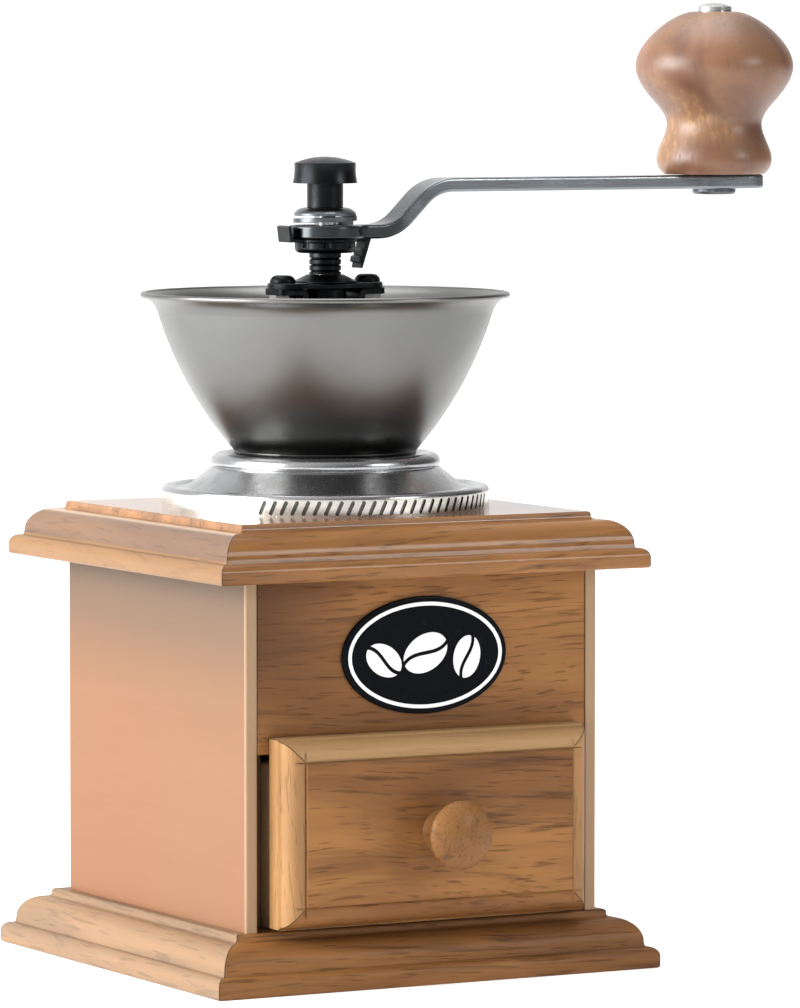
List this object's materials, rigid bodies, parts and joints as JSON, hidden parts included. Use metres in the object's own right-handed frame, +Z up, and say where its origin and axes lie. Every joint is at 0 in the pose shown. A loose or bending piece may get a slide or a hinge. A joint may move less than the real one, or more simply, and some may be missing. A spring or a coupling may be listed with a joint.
{
  "type": "burr coffee grinder",
  "caption": "Hand-cranked coffee mill: wooden case with a drawer, chromed collar, open steel hopper bowl, conical burrs and a crank with a turned knob.",
  "frame": {"origin": "centre of the base board's underside, on the crank's turning axis", "axes": "+Z up along the spindle; the drawer opens towards -Y; the crank points along +X at rest"},
  "size_m": [0.1828, 0.1267, 0.2241],
  "materials": {
    "oiled_hardwood": "oiled open-grain hardwood with a soft sheen",
    "plain_wood": "plain unfinished wood",
    "pull_wood": "turned wood, satin",
    "knob_wood": "turned reddish-brown wood, satin lacquer",
    "black_enamel": "black enamel",
    "white_enamel": "white enamel",
    "cast_iron": "machined cast iron",
    "bright_chrome": "bright chrome plate",
    "satin_steel": "satin spun steel",
    "dark_steel": "blackened steel",
    "polished_steel": "polished steel",
    "plain_steel": "plain zinc-plated steel"
  },
  "bodies": {
    "case": {"base_board": "oiled_hardwood", "base_screws": "plain_steel", "left_side_panel": "oiled_hardwood", "right_side_panel": "oiled_hardwood", "front_panel": "oiled_hardwood", "back_panel": "oiled_hardwood", "top_dowels": "plain_wood", "top_board": "oiled_hardwood", "badge_plate": "black_enamel", "badge_inlay": "white_enamel", "burr_carrier": "cast_iron", "carrier_screws": "plain_steel", "base_flange": "bright_chrome", "hopper_bowl": "satin_steel", "outer_burr": "cast_iron", "lower_guide": "cast_iron", "guide_screws": "plain_steel", "left_yoke_leg": "plain_steel", "right_yoke_leg": "plain_steel", "yoke_foot_screws": "plain_steel", "bridge_plate": "dark_steel", "bridge_screws": "dark_steel", "bridge_nuts": "dark_steel", "upper_bush": "dark_steel", "return_spring": "plain_steel"},
    "crank": {"stopper_plate": "dark_steel", "crank_arm": "polished_steel", "spring_washer": "dark_steel", "domed_washer": "dark_steel", "cap_nut": "dark_steel", "knob_bolt": "polished_steel", "knob_washer": "polished_steel", "bolt_end_nut": "polished_steel"},
    "adjusting_nut": {"adjusting_nut": "dark_steel"},
    "spindle": {"spindle": "plain_steel", "inner_burr": "cast_iron", "drive_pin": "plain_steel", "burr_nut": "plain_steel", "spring_seat": "plain_steel"},
    "knob": {"crank_knob": "knob_wood"},
    "drawer": {"drawer_front": "oiled_hardwood", "drawer_box_front": "plain_wood", "drawer_left_side": "plain_wood", "drawer_right_side": "plain_wood", "drawer_back": "plain_wood", "drawer_bottom": "plain_wood", "drawer_knob": "pull_wood", "drawer_knob_screw": "plain_steel"}
  },
  "joints": [
    {"name": "crank_turn", "type": "hinge", "parent": "case", "child": "crank", "pos_m": [0, 0, 0.17], "axis": [0, 0, 1], "continuous": true},
    {"name": "grind_adjust", "type": "hinge", "parent": "crank", "child": "adjusting_nut", "pos_m": [0, 0, 0.164], "axis": [0, 0, 1], "range_deg": [0, 360]},
    {"name": "spindle_lift", "type": "slide", "parent": "crank", "child": "spindle", "axis": [0, 0, 1], "range_m": [0, 0.0008], "deforming": ["return_spring"]},
    {"name": "knob_spin", "type": "hinge", "parent": "crank", "child": "knob", "pos_m": [0.1063, 0, 0.2], "axis": [0, 0, 1], "continuous": true},
    {"name": "drawer_slide", "type": "slide", "parent": "case", "child": "drawer", "axis": [0, -1, 0], "range_m": [0, 0.06]}
  ],
  "couplings": [
    {"joint": "grind_adjust", "follows": "spindle_lift", "rad_per_m": 7854}
  ]
}
